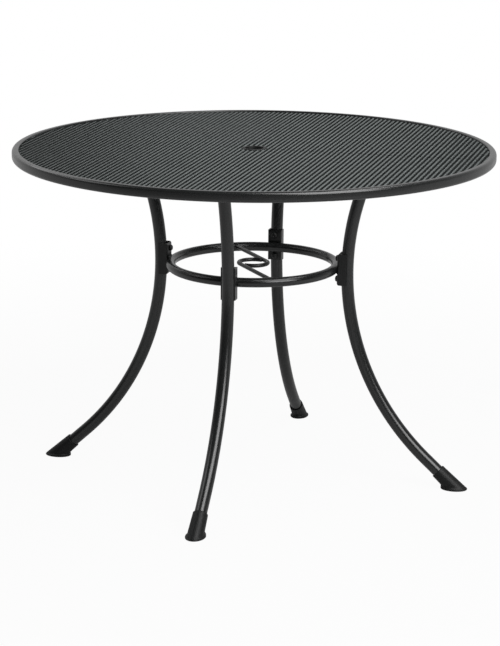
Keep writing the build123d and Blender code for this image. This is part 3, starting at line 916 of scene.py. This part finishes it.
for quarter, side in enumerate(SIDES):
    boot = add_object("boot_" + side, boot_mesh(quarter))
    seat(boot, "black_plastic", "foot_boot_" + side)
print("boots:", triangles(boot), "triangles each")

# %% [markdown]
# ## The parasol collar
# A moulded bush lines the hole for the pole: a thin flange on the mesh and a sleeve down through the hub. It
# is turned, so its outline is spun round the table's axis.

# %% The collar's outline
BORE_RADIUS, COLLAR_RADIUS, FLANGE_ROUND = 0.020, 0.022, 0.0009
BORE_ROUND_START, BORE_ROUND_STEPS, FLANGE_ROUND_STEPS = 0.3, 5, 6
flange_low = bar_high.z
round_low = collar_high.z - FLANGE_ROUND
bore_round, edge_round = BORE_RADIUS + FLANGE_ROUND, collar_high.x - FLANGE_ROUND
outline = [(BORE_RADIUS, collar_low.z), (BORE_RADIUS, round_low)]
outline += [(bore_round - FLANGE_ROUND * cos(a), round_low + FLANGE_ROUND * sin(a))
            for a in steps(BORE_ROUND_START, pi / 2, BORE_ROUND_STEPS)]
outline += [(edge_round + FLANGE_ROUND * sin(a), round_low + FLANGE_ROUND * cos(a))
            for a in steps(0, pi / 2, FLANGE_ROUND_STEPS)]
outline += [(collar_high.x, flange_low), (COLLAR_RADIUS, flange_low), (COLLAR_RADIUS, collar_low.z)]
print("collar outline:", len(outline), "points")

# %% Spin the collar
COLLAR_SIDES, SHARP_FROM = 96, radians(50)


def spun(name, outline, count, finish):
    """A closed outline of radius and height spun round the table's axis."""
    made = bmesh.new()
    columns = [[made.verts.new(on_circle(r, a, z)) for r, z in outline] for a in full_turn(count)]
    for a, b in zip(columns, columns[1:] + columns[:1]):
        for k in range(len(outline)):
            n = (k + 1) % len(outline)
            made.faces.new((a[k], b[k], b[n], a[n])).smooth = True
    bmesh.ops.recalc_face_normals(made, faces=made.faces)
    data = kept_mesh(name, made, finish)
    data.set_sharp_from_angle(angle=SHARP_FROM)
    return add_object(name, data)


collar = seat(spun("collar_bush", outline, COLLAR_SIDES, boot_plastic), "black_plastic", "parasol_collar")
print("collar:", triangles(collar), "triangles")

# %% [markdown]
# ## The camera
# The photograph was taken from about eye height, some five metres away, with a long lens. Place, lens and
# roll come from fitting a simple camera to the edges of the rim, the legs and the feet. The lens follows from
# the focal length in pixels, because the picture is higher than wide and the sensor lies along its height.

# %% Camera at the photograph's angle
CAMERA_AZIMUTH, CAMERA_DISTANCE, CAMERA_HEIGHT = radians(14.4973), 4.9233, 1.5872
CAMERA_PITCH, CAMERA_YAW, CAMERA_ROLL = radians(14.165), radians(0.0745), radians(0.4017)
IMAGE_HEIGHT_PX, FOCAL_PX, SENSOR_MM = 646, 2289.9, 36.0
camera_data = bpy.data.cameras.new("camera")
camera_data.sensor_width = SENSOR_MM
camera_data.lens = FOCAL_PX / IMAGE_HEIGHT_PX * SENSOR_MM
camera = add_object("camera", camera_data)
BEHIND = (-sin(CAMERA_AZIMUTH), cos(CAMERA_AZIMUTH))
stand = Vector((-CAMERA_DISTANCE * BEHIND[0], -CAMERA_DISTANCE * BEHIND[1], CAMERA_HEIGHT))
turned = Matrix.Rotation(CAMERA_AZIMUTH + CAMERA_YAW, 4, "Z")
tipped = Matrix.Rotation(pi / 2 - CAMERA_PITCH, 4, "X")
camera.matrix_world = Matrix.Translation(stand) @ turned @ tipped @ Matrix.Rotation(CAMERA_ROLL, 4, "Z")
bpy.context.scene.camera = camera
print("lens", round(camera_data.lens, 2), "mm")

# %% [markdown]
# ## The floor
# The photograph is a cut-out on white. A white floor that lights the table would wash its dark coat out, so
# the floor is grey and matt to the light, and looks white by the light path: to the camera, most of it is an
# even white with a faint shadow left under the table. In reflections it fades out towards the viewer, as in a
# studio whose front is dark, and under the table, where the table's shadow is painted into its glow as
# painted shade; both keep the rim's near face dark.

# %% Floor
FLOOR_REACH, FLOOR_LEVEL, FLOOR_GREY = 60.0, -0.0003, 0.36
WHITE_SPAN, WHITE_SHARE = (1.0, 2.5), (0.95, 1.0)
FRONT_SPAN, FRONT_SHARE = (-3.2, -1.2), (0.04, 0.48)
# Near the table's axis the floor's glow in reflections is dimmed: a painted table shadow.
TABLE_SHADOW_SPAN, TABLE_SHADOW_SHARE = (0.5, 2.2), (0.35, 1.0)
WHITE = (1.0, 1.0, 1.0, 1.0)


def seen_directly(tree, rays):
    """1 for rays that show a thing itself: to the camera, in a reflection or through glass."""
    shown = calc(tree, "MAXIMUM", rays.outputs["Is Camera Ray"], rays.outputs["Is Glossy Ray"])
    return calc(tree, "MAXIMUM", shown, rays.outputs["Is Transmission Ray"])


def floor_material():
    """Grey and matt to light, white to the camera, fading in reflections, with the table's shadow painted
    into them.
    """
    made = bpy.data.materials.new("pale_floor")
    made.use_nodes = True
    tree = made.node_tree
    tree.nodes.clear()
    rays = node(tree, "ShaderNodeLightPath")
    place = node(tree, "ShaderNodeNewGeometry").outputs["Position"]
    behind = node(tree, "ShaderNodeVectorMath", {0: place, 1: (*BEHIND, 0)}, operation="DOT_PRODUCT")
    away = node(tree, "ShaderNodeVectorMath", {0: place}, operation="LENGTH").outputs["Value"]
    # Reflections fade towards the viewer, and under the table a painted shadow dims them.
    mirrored = calc(tree, "MULTIPLY", ramp(tree, behind.outputs["Value"], FRONT_SPAN, FRONT_SHARE),
                    ramp(tree, away, TABLE_SHADOW_SPAN, TABLE_SHADOW_SHARE))
    white = node(tree, "ShaderNodeMix", {
        "Factor": rays.outputs["Is Camera Ray"], "A": mirrored,
        "B": ramp(tree, away, WHITE_SPAN, WHITE_SHARE)}, data_type="FLOAT")
    share = calc(tree, "MULTIPLY", seen_directly(tree, rays), white.outputs["Result"])
    matte = node(tree, "ShaderNodeBsdfDiffuse", {"Color": (FLOOR_GREY, FLOOR_GREY, FLOOR_GREY, 1.0)})
    glow = node(tree, "ShaderNodeEmission", {"Color": WHITE, "Strength": 1.0})
    mixed = node(tree, "ShaderNodeMixShader", {0: share, 1: matte.outputs[0], 2: glow.outputs[0]})
    node(tree, "ShaderNodeOutputMaterial", {"Surface": mixed.outputs[0]})
    return made


floor_data = bpy.data.meshes.new("floor")
corners = [(x * FLOOR_REACH, y * FLOOR_REACH, FLOOR_LEVEL) for x, y in ((-1, -1), (1, -1), (1, 1), (-1, 1))]
floor_data.from_pydata(corners, [], [(0, 1, 2, 3)])
floor_data.materials.append(floor_material())
floor = add_object("floor", floor_data)
print("floor at z", FLOOR_LEVEL, "with", len(floor_data.materials[0].node_tree.nodes), "material nodes")

# %% [markdown]
# ## Lights
# Four soft boxes light the table. The large one high on the right draws the pale lines on the right and front
# legs and on the rim's lip, and the small one on the left lifts the shade a little. The tilted strands of the
# mesh are small mirrors: those of one slope show the box above the table, and those of the other slope show
# the one behind it, which gives the stripes. Each box is set by its direction round the table.

# %% Soft boxes
AIM = Vector((0, 0, 0.45))


def soft_box(name, azimuth, elevation, distance, size, power):
    """A lamp at a direction in degrees round the table, azimuth 0 in front, turned to the table's middle."""
    lamp = bpy.data.lights.new(name, "AREA")
    lamp.shape = "RECTANGLE"
    lamp.size, lamp.size_y = size
    lamp.energy = power
    box = add_object(name, lamp)
    a, e = radians(azimuth), radians(elevation)
    away = distance * Vector((sin(a) * cos(e), -cos(a) * cos(e), sin(e)))
    box.matrix_world = Matrix.Translation(AIM + away) @ away.to_track_quat("Z", "Y").to_matrix().to_4x4()
    return box


boxes = [
    soft_box("soft_box_right", 52, 41, 3.2, (2.0, 3.4), 155),
    soft_box("soft_box_left", -75, 40, 3.6, (1.6, 1.6), 15),
    soft_box("soft_box_top", 114.2, 61.0, 6.80, (2.4, 1.8), 84),
    soft_box("soft_box_back", -122, 36.6, 4.11, (2.0, 1.4), 12.5),
]
print("soft boxes:", {box.name: round(box.data.energy, 1) for box in boxes})

# %% [markdown]
# ## The room
# The world is the rest of the studio. It gives a low even light, and it is white to the camera. In
# reflections it is bright behind the table and near the ground, and dark towards the viewer and overhead,
# like a white backdrop with a dark room in front of it.

# %% World
ROOM_LIGHT, ROOM_WHITE = 0.28, 1.0
BACKDROP_FALL, BACKDROP_SPAN, BACKDROP_LEVEL = -0.9, (-0.35, 0.5), (0.05, 0.6)
world = bpy.data.worlds.new("studio")
bpy.context.scene.world = world
world.use_nodes = True
sky = world.node_tree
sky.nodes.clear()
rays = node(sky, "ShaderNodeLightPath")
level = ramp(sky, seen_directly(sky, rays), (0.0, 1.0), (ROOM_LIGHT, ROOM_WHITE))
towards = node(sky, "ShaderNodeTexCoord").outputs["Generated"]
backdrop = node(sky, "ShaderNodeVectorMath", {0: towards, 1: (*BEHIND, BACKDROP_FALL)},
                operation="DOT_PRODUCT")
mirrored = node(sky, "ShaderNodeMix", {
    "Factor": rays.outputs["Is Glossy Ray"], "A": level,
    "B": ramp(sky, backdrop.outputs["Value"], BACKDROP_SPAN, BACKDROP_LEVEL)}, data_type="FLOAT")
back = node(sky, "ShaderNodeBackground", {"Color": WHITE, "Strength": mirrored.outputs["Result"]})
node(sky, "ShaderNodeOutputWorld", {"Surface": back.outputs[0]})
bpy.context.scene.view_settings.view_transform = "Standard"
print("world:", len(sky.nodes), "nodes")
